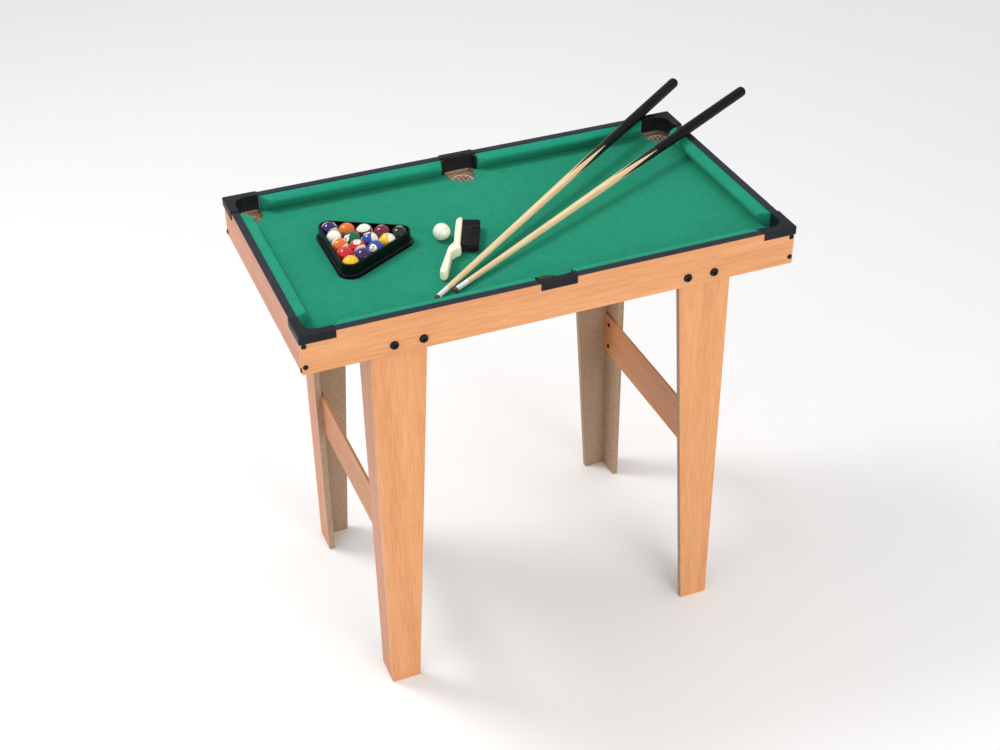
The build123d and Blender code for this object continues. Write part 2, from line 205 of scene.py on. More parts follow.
def feltFinish(name, tone, pale):
    finish, shader, place = newFinish(name, {
        "Roughness": 0.95, "Specular IOR Level": 0.08, "Sheen Weight": 0.22, "Sheen Roughness": 0.5,
        "Sheen Tint": (0.20, 0.85, 0.55, 1),
    })
    nap = noise(place, 1500, 3, 0.7)
    tufts = noise(place, 420, 3, 0.65)
    shading = noise(place, 16, 4, 0.6)
    blotch = noise(place, 120, 3, 0.6)
    mix = nap * 0.40 + tufts * 0.30 + blotch * 0.18 + shading * 0.12
    feed(shader, Base_Color=shades(mix, (0.36, tone), (0.64, pale)))
    feed(shader, Normal=bump(nap * 0.6 + tufts, 0.0004, 0.5))
    return finish


def plasticFinish(name, tone, rough, grainSize, grainDepth, coat=0.0, shine=0.5):
    fixed = {"Specular IOR Level": shine, "Coat Roughness": 0.12, "Coat Weight": coat}
    finish, shader, place = newFinish(name, fixed)
    grain = noise(place, grainSize, 3, 0.6)
    wear = noise(place, 34, 5, 0.65)
    worn = tuple(1.35 * c + 0.004 for c in tone)
    feed(shader, Base_Color=mixed(span(wear, 0.35, 0.7), (*tone, 1), (*worn, 1)))
    feed(shader, Roughness=span(wear, 0.3, 0.75, rough - 0.06, rough + 0.08))
    feed(shader, Normal=bump(grain, grainDepth, 0.6))
    return finish


def metalFinish(name, tone, rough):
    finish, shader, place = newFinish(name, {"Metallic": 1.0})
    spots = noise(place, 900, 4, 0.6)
    bright = tuple(1.5 * c for c in tone)
    feed(shader, Base_Color=mixed(span(spots, 0.35, 0.7), (*tone, 1), (*bright, 1)))
    feed(shader, Roughness=span(spots, 0.3, 0.7, rough - 0.08, rough + 0.1))
    return finish


def stringFinish():
    finish, shader, place = newFinish("stringCotton", {"Roughness": 0.85, "Sheen Weight": 0.3})
    twist = noise(place, 2400, 3, 0.6)
    feed(shader, Base_Color=mixed(span(twist, 0.3, 0.7), (0.62, 0.60, 0.55, 1), (0.90, 0.89, 0.86, 1)))
    feed(shader, Normal=bump(twist, 0.0003, 0.8))
    return finish


finishes = {
    "apronFront": laminate("apronLong", [(1, 0.2541), (0, 0.4591)], (0.8, 14, 14)),
    # The end aprons and the leg side boards get the darker end tones: painted shade on faces turned away from
    # the front light.
    "apronEnd": laminate("apronEnd", [(0, 0.4591)], (14, 0.8, 14), endPaintedShadeTones),
    "legWide": laminate("legWide", [(1, 0.2428), (0, 0.3398)], (14, 14, 0.8)),
    "legSide": laminate("legSide", [(0, 0.3398)], (14, 14, 0.8), endPaintedShadeTones),
    # The stretchers get the darker tones: painted shade from the table top above them.
    "stretcher": laminate("stretcherFoil", [(0, 0.3)], (14, 0.8, 14), underTopPaintedShadeTones),
    "felt": feltFinish("feltBed", (0.007, 0.175, 0.098), (0.020, 0.312, 0.190)),
    "feltCushion": feltFinish("feltCushion", (0.007, 0.188, 0.108), (0.020, 0.335, 0.212)),
    "cap": plasticFinish("capPlastic", (0.0035, 0.0045, 0.0075), 0.48, 2600, 0.00012, 0, 0.20),
    "trim": plasticFinish("trimPlastic", (0.010, 0.015, 0.026), 0.5, 2200, 0.00008, 0, 0.20),
    "rack": plasticFinish("rackGloss", (0.0012, 0.0012, 0.0016), 0.22, 300, 0.00002, 0.06, 0.12),
    "blackSteel": metalFinish("blackSteel", (0.02, 0.02, 0.022), 0.42),
    "zinc": metalFinish("zincPlate", (0.55, 0.56, 0.58), 0.38),
    "string": stringFinish(),
}
print("finishes made:", len(finishes))


def boardRaw():
    finish, shader, place = newFinish("boardRaw", {"Roughness": 0.85})
    fibres = noise(place, 800, 4, 0.75)
    clumps = noise(place, 60, 3, 0.6)
    speckle = span(fibres * 0.5 + clumps * 0.5, 0.36, 0.66)
    feed(shader, Base_Color=mixed(speckle, (0.20, 0.10, 0.055, 1), (0.38, 0.22, 0.125, 1)))
    feed(shader, Normal=bump(fibres, 0.0002, 0.4))
    return finish


finishes["board"] = boardRaw()


def dress(node, finish):
    slots = frame["nodes"][node].material_slots
    for place in slots:
        place.material = finishes[finish]
    if not len(slots):
        frame["nodes"][node].data.materials.append(finishes[finish])


dressing = {
    "bed_board": "board",
    "rail_trims": "trim",
    "leg_bolts": "blackSteel",
    "wood_screws": "blackSteel",
    "leg_nuts": "zinc",
    "triangle_rack": "rack",
}
for end in ("left", "right"):
    dressing[f"apron_{end}"] = "apronEnd"
    dressing[f"stretcher_{end}"] = "stretcher"
for side in ("front", "back"):
    dressing[f"apron_{side}"] = "apronFront"
    for end in ("left", "right"):
        dressing[f"leg_{side}_{end}_wide"] = "legWide"
        dressing[f"leg_{side}_{end}_side"] = "legSide"
    for end in ("left", "right", "middle"):
        dressing[f"cap_{side}_{end}"] = "cap"
for node, finish in dressing.items():
    dress(node, finish)


# Camera, floor and lights.
shot = {"at": (-0.952, -2.407, 2.284), "turn": (55.11, 0.75, -21.85), "lens": 58.17}
softboxes = {
    "key": {"at": (-1.5, 1.2, 3.2), "aim": (0.0, 0.0, 0.8), "size": 1.1, "power": 47},
    "front": {"at": (0.7, -3.8, 2.0), "aim": (0.0, 0.0, 0.6), "size": 2.6, "power": 62},
    "side": {"at": (-3.0, -1.4, 1.6), "aim": (0.0, 0.0, 0.5), "size": 2.0, "power": 11},
}


def setCamera():
    data = bpy.data.cameras.new("camera")
    data.lens, data.sensor_width = shot["lens"], 36
    view = bpy.data.objects.new("camera", data)
    view.location = shot["at"]
    view.rotation_euler = [radians(angle) for angle in shot["turn"]]
    bpy.context.scene.collection.objects.link(view)
    bpy.context.scene.camera = view


def setLights():
    for name, box in softboxes.items():
        data = bpy.data.lights.new(name, "AREA")
        data.shape, data.size, data.energy, data.color = "DISK", box["size"], box["power"], (1, 0.99, 0.98)
        light = bpy.data.objects.new(name, data)
        light.location = box["at"]
        aim = Vector(box["aim"]) - Vector(box["at"])
        light.rotation_euler = aim.to_track_quat("-Z", "Y").to_euler()
        bpy.context.scene.collection.objects.link(light)
    world = bpy.data.worlds.new("studio")
    world.use_nodes = True
    world.node_tree.nodes["Background"].inputs["Color"].default_value = (1, 1, 1, 1)
    world.node_tree.nodes["Background"].inputs["Strength"].default_value = 0.72
    bpy.context.scene.world = world
    bpy.context.scene.view_settings.view_transform = "Standard"


def setFloor():
    mesh = bpy.data.meshes.new("floor")
    reach, level = 12, -0.0005
    corners = [(x * reach, y * reach, level) for x, y in ((-1, -1), (1, -1), (1, 1), (-1, 1))]
    mesh.from_pydata(corners, [], [(0, 1, 2, 3)])
    floor = bpy.data.objects.new("floor", mesh)
    bpy.context.scene.collection.objects.link(floor)
    finish, shader, place = newFinish("floorPaint", {"Roughness": 0.9})
    feed(shader, Base_Color=mixed(noise(place, 3), (0.93, 0.93, 0.93, 1), (0.95, 0.95, 0.95, 1)))
    mesh.materials.append(finish)


setCamera()
setLights()
setFloor()
print("camera, lights and floor set")


# Mesh helpers.
def newPiece(name, corners, faces, finish, sharp=None):
    mesh = bpy.data.meshes.new(name)
    mesh.from_pydata([tuple(corner) for corner in corners], [], faces)
    return keepMesh(name, mesh, finish, sharp)


def keepMesh(name, mesh, finish, sharp=None):
    mesh.materials.clear()
    mesh.materials.append(finishes[finish])
    mesh.polygons.foreach_set("use_smooth", [True] * len(mesh.polygons))
    if sharp:
        mesh.set_sharp_from_angle(angle=radians(sharp))
    piece = bpy.data.objects.new(name, mesh)
    bpy.context.scene.collection.objects.link(piece)
    return piece


def turnOut(piece):
    shape = bmesh.new()
    shape.from_mesh(piece.data)
    bmesh.ops.remove_doubles(shape, verts=shape.verts, dist=1e-6)
    bmesh.ops.recalc_face_normals(shape, faces=shape.faces)
    shape.to_mesh(piece.data)
    shape.free()


def hoop(rings, capped=True):
    count = len(rings[0])
    corners = [corner for ring in rings for corner in ring]
    faces = []
    for row in range(len(rings) - 1):
        for spot in range(count):
            after = (spot + 1) % count
            near, far = row * count, (row + 1) * count
            faces.append((near + spot, near + after, far + after, far + spot))
    if capped:
        last = len(corners) - count
        faces += [tuple(range(count))[::-1], tuple(range(last, last + count))]
    return corners, faces


def softened(corners, steps=5):
    outline = []
    for place, (x, y, radius) in enumerate(corners):
        here = Vector((x, y))
        back = (Vector(corners[place - 1][:2]) - here).normalized()
        ahead = (Vector(corners[(place + 1) % len(corners)][:2]) - here).normalized()
        half = back.angle(ahead) / 2
        if not radius:
            outline.append(here)
            continue
        middle = here + (back + ahead).normalized() * radius / sin(half)
        first = here + back * radius / tan(half) - middle
        swing = first.angle_signed(here + ahead * radius / tan(half) - middle)
        for step in range(steps + 1):
            turn = -swing * step / steps
            outline.append(middle + Matrix.Rotation(turn, 2) @ first)
    return outline


# Geometry trees: made with named sizes, run once, and kept as a plain mesh.
def newTree(name, sizes):
    tree = bpy.data.node_groups.new(name, "GeometryNodeTree")
    tree.interface.new_socket("Geometry", in_out="OUTPUT", socket_type="NodeSocketGeometry")
    tree.interface.new_socket("Geometry", in_out="INPUT", socket_type="NodeSocketGeometry")
    kinds = {int: "NodeSocketInt", float: "NodeSocketFloat", tuple: "NodeSocketVector"}
    for label, size in sizes.items():
        tree.interface.new_socket(label, in_out="INPUT", socket_type=kinds[type(size)])
    given = tree.nodes.new("NodeGroupInput")
    return tree, {socket.name: Wire(socket) for socket in given.outputs if socket.name}


def closeTree(tree, shape, finish):
    solid = shape.node("GeometryNodeRealizeInstances", {}, {0: shape})
    painted = solid.node("GeometryNodeSetMaterial", {}, {"Geometry": solid, "Material": finishes[finish]})
    end = tree.nodes.new("NodeGroupOutput")
    tree.links.new(painted.socket, end.inputs[0])


def grown(name, tree, sizes, finish, spots=((0, 0, 0),), sharp=None):
    mesh = bpy.data.meshes.new(name)
    mesh.from_pydata([tuple(spot) for spot in spots], [], [])
    seed = bpy.data.objects.new(name, mesh)
    bpy.context.scene.collection.objects.link(seed)
    modifier = seed.modifiers.new("grow", "NODES")
    modifier.node_group = tree
    for item in tree.interface.items_tree:
        if item.in_out == "INPUT" and item.name in sizes:
            modifier[item.identifier] = sizes[item.name]
    result = bpy.data.meshes.new_from_object(seed.evaluated_get(bpy.context.evaluated_depsgraph_get()))
    bpy.data.objects.remove(seed)
    return keepMesh(name, result, finish, sharp)


# Bed cloth: one sheet stretched over the board, its cut edges rolled down into the pockets.
_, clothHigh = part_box("bed_cloth")
pocketX = -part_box("cushion_left")[1].x
pocketY = -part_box("cushion_front_left")[1].y
clothMake = {
    "pocket": 0.027,
    "roll": 0.0007,
    "lip": 0.005,
    "thick": 0.0007,
    "steps": 18,  # along each quarter or half of a pocket
    "wander": 0.00035,
    "cutOut": 0.0085,  # area of the six pockets
}


def pocketCut(centre, start, sweep):
    steps, reach = clothMake["steps"], clothMake["pocket"]
    turns = [start + sweep * step / steps for step in range(steps + 1)]
    return [(centre[0] + reach * cos(turn), centre[1] + reach * sin(turn)) for turn in turns]


def clothOutline():
    r = clothMake["pocket"]
    wallX, wallY = clothHigh.x, clothHigh.y
    sideY = wallY - r
    path = []
    for sx, sy in ((1, -1), (1, 1), (-1, 1), (-1, -1)):
        x, y = sx * pocketX, sy * pocketY
        arc = pocketCut((x, y), pi if sx > 0 else 0, sx * sy * pi / 2)
        corner = [(x - sx * r, sy * wallY)] + arc + [(sx * wallX, y - sy * r)]
        half = pocketCut((0, sy * sideY), 0, -sy * pi)
        middle = [(r, sy * wallY)] + half + [(-r, sy * wallY)]
        if (sx, sy) == (1, -1):
            path += middle[::-1] + corner
        elif (sx, sy) == (1, 1):
            path += corner[::-1] + middle
        elif (sx, sy) == (-1, 1):
            path += corner
        else:
            path += corner[::-1]
    return path


def makeCloth():
    path = clothOutline()
    count = len(path)
    edge = [Vector(spot) for spot in path]
    outs = []
    for place, here in enumerate(edge):
        back, ahead = here - edge[place - 1], edge[(place + 1) % count] - here
        normal = Vector((back.y, -back.x)).normalized() + Vector((ahead.y, -ahead.x)).normalized()
        outs.append(normal.normalized())
    roll, lip = clothMake["roll"], clothMake["lip"]
    top = clothHigh.z
    rings = []
    for out, down in ((-4 * roll, 0), (-roll, 0), (-0.3 * roll, -0.3 * roll), (0, -roll), (0.1 * roll, -lip)):
        ring = []
        for place, (here, normal) in enumerate(zip(edge, outs)):
            atWall = max(abs(here.x) - clothHigh.x, abs(here.y) - clothHigh.y) > -1e-4
            drop = max(down, -0.0006) if atWall else down
            sway = clothMake["wander"] * sin(place * 1.9) * (0.3 + 0.7 * sin(place * 0.7))
            sway = sway if down == -lip and not atWall else 0
            spot = here + normal * (out + sway)
            ring.append((spot.x, spot.y, top + drop + 2 * sway))
        rings.append(ring)
    corners, faces = hoop(rings, capped=False)
    inner = [Vector((x, y, 0)) for x, y, _ in rings[0]]
    faces += [tuple(face) for face in tessellate_polygon([inner])]
    cloth = newPiece("bedFelt", corners, faces, "felt", 40)
    turnOut(cloth)
    if max(cloth.data.polygons, key=lambda face: face.area).normal.z < 0:
        cloth.data.flip_normals()
    thick = cloth.modifiers.new("thickness", "SOLIDIFY")
    thick.thickness, thick.offset = clothMake["thick"], -1
    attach(cloth, "table")
    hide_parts("bed_cloth")


makeCloth()
print("bed cloth stretched")


# Cushions: rubber strips wrapped in felt, with rolled ends where the felt is folded over.
cushionMake = {
    "undercut": 0.0125,
    "noseLow": 0.0175,
    "noseHigh": 0.0212,
    "crown": 0.0007,
    "roll": 0.0030,
    "cornerSlant": 0.015,
    "sideSlant": 0.006,
    "pleats": 5,
    "pleatDepth": 0.0011,
    "pleatReach": 0.014,  # how far the folds run in from each end
    "pleatBeat": 90,
    "wave": 0.00018,
    "waveBeat": 60,
    "stations": 16,
}


def cushionSection(width, tall):
    make = cushionMake
    return softened([
        (0.0002, 0.0002, 0.0006),
        (width - make["undercut"], 0.0002, 0.0010),
        (width - 0.0004, make["noseLow"], 0.0022),
        (width - 0.0006, make["noseHigh"] + 0.0010, 0.0020),
        (width - 0.0042, tall - 0.0032, 0.0040),
        (width * 0.5, tall - 0.0016 + make["crown"], 0.03),
        (0.0002, tall - 0.0004, 0.0012),
    ], 4)


def makeCushion(node, wall, inward, along, ends):
    make = cushionMake
    low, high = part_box(node)
    tall = high.z - low.z
    section = cushionSection(abs(inward), tall)
    middle = sum(section, Vector((0, 0))) / len(section)
    (start, startSlant), (stop, stopSlant) = ends
    width = abs(inward)
    reach = make["roll"]
    stations = [(0, 0.80), (0.04, 0.90), (0.2, 0.96), (0.5, 0.992), (1.0, 1.0), (2.5, 1.0), (5, 1.0)]
    length = abs(stop - start)
    spots = [(reach * t / length, shrink) for t, shrink in stations]
    count = make["stations"]
    inner = [(6 * reach / length + (1 - 12 * reach / length) * k / count, 1) for k in range(count + 1)]
    line = spots + inner + [(1 - t, shrink) for t, shrink in reversed(spots)]
    rings = []
    for t, shrink in line:
        ring = []
        near = min(t, 1 - t) * length
        fold = make["pleatDepth"] * max(0, 1 - near / make["pleatReach"])
        for place, spot in enumerate(section):
            flat = middle + (spot - middle) * shrink
            turn = atan2(spot.y - middle.y, spot.x - middle.x)
            puff = fold * sin(make["pleats"] * 2 * turn + near * make["pleatBeat"]) * (spot.y > 0.002)
            puff += make["wave"] * sin(t * length * make["waveBeat"] + 2 * turn) * (spot.y > 0.003)
            flat = flat + (spot - middle).normalized() * (puff - make["wave"])
            across = max(0.0002, min(width, flat.x))
            level = max(0.0001, min(tall, flat.y))
            slide = across / width
            begin, end = start + startSlant * slide, stop + stopSlant * slide
            here = begin + (end - begin) * t
            side = wall + (1 if inward > 0 else -1) * across
            ring.append((here, side, low.z + level) if along == "x" else (side, here, low.z + level))
        rings.append(ring)
    corners, faces = hoop(rings)
    piece = newPiece("cushionFelt_" + node.replace("cushion_", ""), corners, faces, "feltCushion", 50)
    turnOut(piece)
    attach(piece, "table")
    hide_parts(node)


def makeCushions():
    corner, side = cushionMake["cornerSlant"], cushionMake["sideSlant"]
    for node in ("cushion_front_left", "cushion_front_right", "cushion_back_left", "cushion_back_right"):
        low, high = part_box(node)
        wall, nose = (low.y, high.y) if "front" in node else (high.y, low.y)
        if "left" in node:
            ends = ((low.x, corner), (high.x, -side))
        else:
            ends = ((low.x, side), (high.x, -corner))
        makeCushion(node, wall, nose - wall, "x", ends)
    for node in ("cushion_left", "cushion_right"):
        low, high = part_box(node)
        wall, nose = (low.x, high.x) if "left" in node else (high.x, low.x)
        makeCushion(node, wall, nose - wall, "y", ((low.y, corner), (high.y, -corner)))


makeCushions()
print("cushions wrapped")


# Pocket nets: two sets of strings that cross as they wind round the bag, and a cord round the mouth.
netMake = {
    "Strings": 14,  # in each of the two sets
    "Radius": 0.0224,
    "Depth": 0.0325,
    "Turns": 0.30,
    "String": 0.00062,
    "Rim": 0.0007,
    "Fullness": 0.42,
}


def circle(tree, corners, radius):
    return addNode(tree, "GeometryNodeCurvePrimitiveCircle", {}, {"Resolution": corners, "Radius": radius})


def tube(line, profile, caps=False):
    values = {"Curve": line, "Profile Curve": profile, "Fill Caps": caps}
    return line.node("GeometryNodeCurveToMesh", {}, values)


def netTree():
    tree, given = newTree("net", netMake)

    def strings(way):
        line = addNode(tree, "GeometryNodeCurvePrimitiveLine", {}, {"End": (0, 0, -1)})
        line = line.node("GeometryNodeResampleCurve", {}, {"Curve": line, "Count": 14})
        run = addNode(tree, "GeometryNodeSplineParameter")
        angle = run * (pi / 2 * 0.985)
        spread = angle.math("COSINE").math("POWER", given["Fullness"]) * given["Radius"]
        drop = angle.math("SINE").math("POWER", 0.85) * given["Depth"] * -1
        turn = run * given["Turns"] * (2 * pi * way)
        place = run.node("ShaderNodeCombineXYZ", {}, {
            0: turn.math("COSINE") * spread, 1: turn.math("SINE") * spread, 2: drop,
        })
        line = line.node("GeometryNodeSetPosition", {}, {"Geometry": line, "Position": place})
        rope = tube(line, circle(tree, 5, given["String"]), True)
        dots = addNode(tree, "GeometryNodePoints", {}, {"Count": given["Strings"]})
        step = addNode(tree, "GeometryNodeInputIndex") * (2 * pi) / given["Strings"]
        spin = step.node("ShaderNodeCombineXYZ", {}, {2: step})
        values = {"Points": dots, "Instance": rope, "Rotation": spin}
        return dots.node("GeometryNodeInstanceOnPoints", {}, values)

    rim = tube(circle(tree, 36, given["Radius"]), circle(tree, 8, given["Rim"]))
    bag = addNode(tree, "GeometryNodeJoinGeometry")
    joined = bag.socket.node
    for part in (rim, strings(-1), strings(1)):
        tree.links.new(part.socket, joined.inputs[0])
    bags = bag.node("GeometryNodeInstanceOnPoints", {}, {"Points": given["Geometry"], "Instance": bag})
    closeTree(tree, bags, "string")
    return tree


def pocketSpots():
    flange = 0.0012
    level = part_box("pocket_nets")[1].z - flange
    spots = {}
    for opening in openings:
        if opening["name"].startswith("pocket"):
            low, high = opening["box_m"]
            middle = (round((low[0] + high[0]) / 2, 4), round((low[1] + high[1]) / 2, 4))
            spots[middle] = (*middle, level)
    return list(spots.values())


nets = grown("netStrings", netTree(), netMake, "string", pocketSpots())
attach(nets, "table")
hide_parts("pocket_nets")
print("nets knotted:", len(pocketSpots()), "bags")


# Balls: the spot with the number faces out along one direction, and a stripe runs round past it.
cream = (0.86, 0.84, 0.74, 1)
ballPaint = {
    1: (0.90, 0.55, 0.01), 2: (0.012, 0.06, 0.36), 3: (0.66, 0.008, 0.012), 4: (0.032, 0.009, 0.11),
    5: (0.80, 0.16, 0.012), 6: (0.004, 0.13, 0.06), 7: (0.16, 0.010, 0.018), 8: (0.008, 0.008, 0.009),
}
toViewer = Vector((-0.305, -0.761, 0.572))  # a level line of sight down to the rack from the front left
toRight = Vector((0.928, -0.372, 0))
toTop = Vector((0.213, 0.531, 0.820))
# Where each spot points, and where the middle of its white end points, as right, up and towards.
ballTurn = {
    1: ((0.9, -0.43, 0.05), (0.4, 0.9, 0.1)), 2: ((-0.10, 0.42, 0.90), (0.3, 0.95, 0)),
    3: ((0.85, -0.52, 0.05), (0, 0, 1)), 4: ((0.90, -0.40, -0.12), (0, 1, 0.1)),
    5: ((0.80, -0.58, -0.10), (0, 0.2, 1)), 6: ((-0.66, -0.12, 0.74), (0.1, 1, 0)),
    7: ((0.10, -0.99, -0.05), (0, 0, 1)), 8: ((-0.10, -0.99, -0.05), (1, 0, 0)),
    9: ((0.1, -0.5, -0.1), (0.90, 0.20, 0.40)), 10: ((-0.15, 0.2, 0.05), (0.93, 0.25, 0.30)),
    11: ((-0.05, 0.72, 0.69), (0.55, -0.62, 0.60)), 12: ((0.6, 0.7, 0.0), (0.62, -0.66, 0.42)),
    13: ((0.6, 0.8, 0.05), (0.78, -0.55, 0.28)), 14: ((0.3, 0.95, 0.0), (-0.05, 0.15, 0.98)),
    15: ((0.9, -0.1, 0.0), (-0.12, 0.80, 0.58)),
}
ballMake = {"spot": 0.905, "stripe": 0.56, "blur": (0.004, 0.008), "digit": 0.0098, "proud": 0.00018}


def ballAxes(number):
    spot, pole = [toRight * r + toTop * u + toViewer * t for r, u, t in ballTurn[number]]
    pole = pole.normalized()
    spot = (spot - pole * spot.dot(pole)).normalized()
    return Matrix((spot, pole.cross(spot), pole)).transposed()


def ballFinish(number, centre, radius, axes):
    finish, shader, place = newFinish(f"ballResin{number:02d}", {
        "Specular IOR Level": 0.55, "Coat Weight": 0.1, "Coat Roughness": 0.03,
    })
    values = {"Vector": place, "Location": centre, "Rotation": axes.to_euler(), "Scale": (radius,) * 3}
    own = place.node("ShaderNodeMapping", {"vector_type": "TEXTURE"}, values)
    spot, stripe = ballMake["spot"], ballMake["stripe"]
    spotBlur, stripeBlur = ballMake["blur"]
    paint = (*ballPaint[(number - 1) % 8 + 1], 1)
    swirl = noise(own, 2.5, 4, 0.6, 1.5)
    deep = tuple(0.8 * c for c in paint[:3]) + (1,)
    coloured = mixed(span(swirl, 0.35, 0.65), deep, paint)
    pale = mixed(span(swirl, 0.3, 0.7), (0.80, 0.77, 0.66, 1), cream)
    if number > 8:
        offStripe = span(abs(own.part(2)), stripe - stripeBlur, stripe + stripeBlur)
        coloured = mixed(offStripe, coloured, pale)
    onSpot = span(abs(own.part(0)), spot - spotBlur, spot + spotBlur)
    feed(shader, Base_Color=mixed(onSpot, coloured, pale))
    feed(shader, Roughness=span(noise(own, 6, 5, 0.7), 0.35, 0.75, 0.06, 0.13))
    return finish


def numberMesh(number):
    words = bpy.data.curves.new("digits", "FONT")
    words.body, words.size, words.resolution_u = str(number), ballMake["digit"], 3
    words.align_x, words.align_y = "CENTER", "CENTER"
    holder = bpy.data.objects.new("digits", words)
    bpy.context.scene.collection.objects.link(holder)
    flat = bpy.data.meshes.new_from_object(holder.evaluated_get(bpy.context.evaluated_depsgraph_get()))
    bpy.data.objects.remove(holder)
    shape = bmesh.new()
    shape.from_mesh(flat)
    bmesh.ops.triangulate(shape, faces=shape.faces)
    bmesh.ops.subdivide_edges(shape, edges=shape.edges, cuts=1, use_grid_fill=True)
    spots = [tuple(vert.co) for vert in shape.verts]
    faces = [tuple(vert.index for vert in face.verts) for face in shape.faces]
    shape.free()
    return spots, faces


def makeBalls():
    for number in range(1, 16):
        node = f"ball_{number:02d}"
        low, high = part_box(node)
        centre, radius = (low + high) / 2, (high.z - low.z) / 2
        axes = ballAxes(number)
        finishes[node] = ballFinish(number, centre, radius, axes)
        dress(node, node)
        spots, faces = numberMesh(number)
        width = 0.78 if number > 9 else 1  # two digits are set closer
        corners, shapes = [], []
        for way in (1, -1):
            start = len(corners)
            for x, y, _ in spots:
                aim = Vector((way * radius, way * x * width, y)).normalized() * (radius + ballMake["proud"])
                corners.append(centre + axes @ aim)
            shapes += [tuple(start + spot for spot in face) for face in faces]
        digits = newPiece(f"digits_{number:02d}", corners, shapes, "ink")
        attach(digits, node)


finishes["ink"] = plasticFinish("ballInk", (0.012, 0.012, 0.013), 0.22, 400, 0.00001, 0.4)
makeBalls()


def cueBallFinish():
    finish, shader, place = newFinish("cueBallResin", {
        "Specular IOR Level": 0.6, "Coat Weight": 0.5, "Coat Roughness": 0.03,
    })
    feed(shader, Base_Color=mixed(span(noise(place, 60, 4, 0.6, 1), 0.3, 0.7), (0.83, 0.81, 0.70, 1), cream))
    feed(shader, Roughness=span(noise(place, 240, 5, 0.7), 0.35, 0.75, 0.06, 0.14))
    return finish


finishes["cueBall"] = cueBallFinish()
dress("cue_ball", "cueBall")
print("balls painted")


# Cues: the finishes follow each cue's own length, from the front of its shaft.
cueMake = {
    "spliceStart": 0.425,  # lengths from the thin end of the shaft
    "spliceLong": 0.134,
    "sleeve": 0.641,
    "points": 2,
    "turned": 0.5,
}


def cueLine(cue):
    spots = [vert.co for vert in frame["nodes"][f"{cue}_shaft"].data.vertices]
    middle = sum(spots, Vector()) / len(spots)
    aim = Vector((1, 0, 0))
    for _ in range(4):  # turns towards the middle of the thick half until it lies along the cue
        far = [spot - middle for spot in spots if (spot - middle).dot(aim) > 0]
        aim = sum(far, Vector()).normalized()
    return middle + aim * min((spot - middle).dot(aim) for spot in spots), aim


def cueFinish(cue, name, fixed, paint):
    start, aim = cueLine(cue)
    finish, shader, place = newFinish(f"{name}_{cue}", fixed)
    turn = aim.to_track_quat("Z", "Y").to_euler()
    values = {"Vector": place, "Location": start, "Rotation": turn}
    own = place.node("ShaderNodeMapping", {"vector_type": "TEXTURE"}, values)
    paint(shader, own)
    return finish


def paintMaple(shader, own):
    grain = noise(stretched(own, (60, 60, 2.2)), 6, 4, 0.6, 0.5)
    fleck = noise(stretched(own, (500, 500, 18)), 3, 3, 0.6)
    mix = grain * 0.7 + fleck * 0.3
    maple = shades(mix, (0.32, (0.87, 0.70, 0.45)), (0.5, (0.80, 0.60, 0.35)), (0.72, (0.62, 0.40, 0.19)))
    along = own.part(2)
    around = own.part(1).math("ARCTAN2", own.part(0)) * (cueMake["points"] / pi) + cueMake["turned"]
    peak = abs(around.math("FRACT") - 0.5) * 2
    edge = cueMake["spliceStart"] + peak * cueMake["spliceLong"]
    inlay = span(along - edge, -0.0008, 0.0008)
    feed(shader, Base_Color=mixed(inlay, maple, (0.004, 0.004, 0.004, 1)))
    feed(shader, Roughness=span(fleck, 0.3, 0.7, 0.26, 0.38))
    feed(shader, Normal=bump(fleck, 0.0001, 0.2))


def paintButt(shader, own):
    along = own.part(2)
    sleeved = along > cueMake["sleeve"]
    grain = noise(own, 900, 3, 0.6)
    marks = noise(stretched(own, (40, 40, 6)), 5, 4, 0.6)
    worn = span(marks, 0.3, 0.75)
    feed(shader, Base_Color=mixed(worn, (0.0022, 0.0022, 0.0025, 1), (0.005, 0.005, 0.006, 1)))
    feed(shader, Roughness=sleeved * span(marks, 0.3, 0.7, 0.42, 0.52) + (1 - sleeved) * 0.22)
    feed(shader, Normal=bump(sleeved * grain, 0.0001, 0.2))


def paintFerrule(shader, own):
    marks = noise(own, 500, 4, 0.65)
    feed(shader, Base_Color=mixed(span(marks, 0.35, 0.7), (0.88, 0.88, 0.87, 1), (0.74, 0.73, 0.70, 1)))
    feed(shader, Roughness=span(marks, 0.3, 0.7, 0.25, 0.4))


def paintTip(shader, own):
    layers = noise(stretched(own, (900, 900, 3000)), 1, 3, 0.7)
    feed(shader, Base_Color=mixed(span(layers, 0.3, 0.7), (0.10, 0.045, 0.030, 1), (0.20, 0.10, 0.07, 1)))
    feed(shader, Roughness=span(layers, 0.3, 0.7, 0.7, 0.9))
    feed(shader, Normal=bump(layers, 0.0003, 0.5))


cueParts = {
    "shaft": ("maple", {"Specular IOR Level": 0.25, "Coat Weight": 0.04, "Coat Roughness": 0.2}, paintMaple),
    "butt": ("butt", {"Specular IOR Level": 0.12}, paintButt),
    "ferrule": ("ferrule", {"Coat Weight": 0.2}, paintFerrule),
    "tip": ("tipLeather", {"Specular IOR Level": 0.2}, paintTip),
}
for cue in ("cue_1", "cue_2"):
    for part, (name, fixed, paint) in cueParts.items():
        node = f"{cue}_{part}"
        finishes[node] = cueFinish(cue, name, fixed, paint)
        dress(node, node)
print("cues lacquered")


# Brush: a smooth ivory handle, and bristles set in rows along its head.
brushMake = {
    "Rows": 15,
    "Columns": 84,
    "Length": 0.0325,
    "Bristle": 0.00042,
    "Head": 0.089,
    "Depth": 0.0142,
    "Seed": 7,
    "Turn": (0.0, 0.0, radians(66.7 - 90)),
    "Centre": (0.0, 0.0, 0.0),
}
handleMake = {"grid": 0.0010, "smoothing": 75}


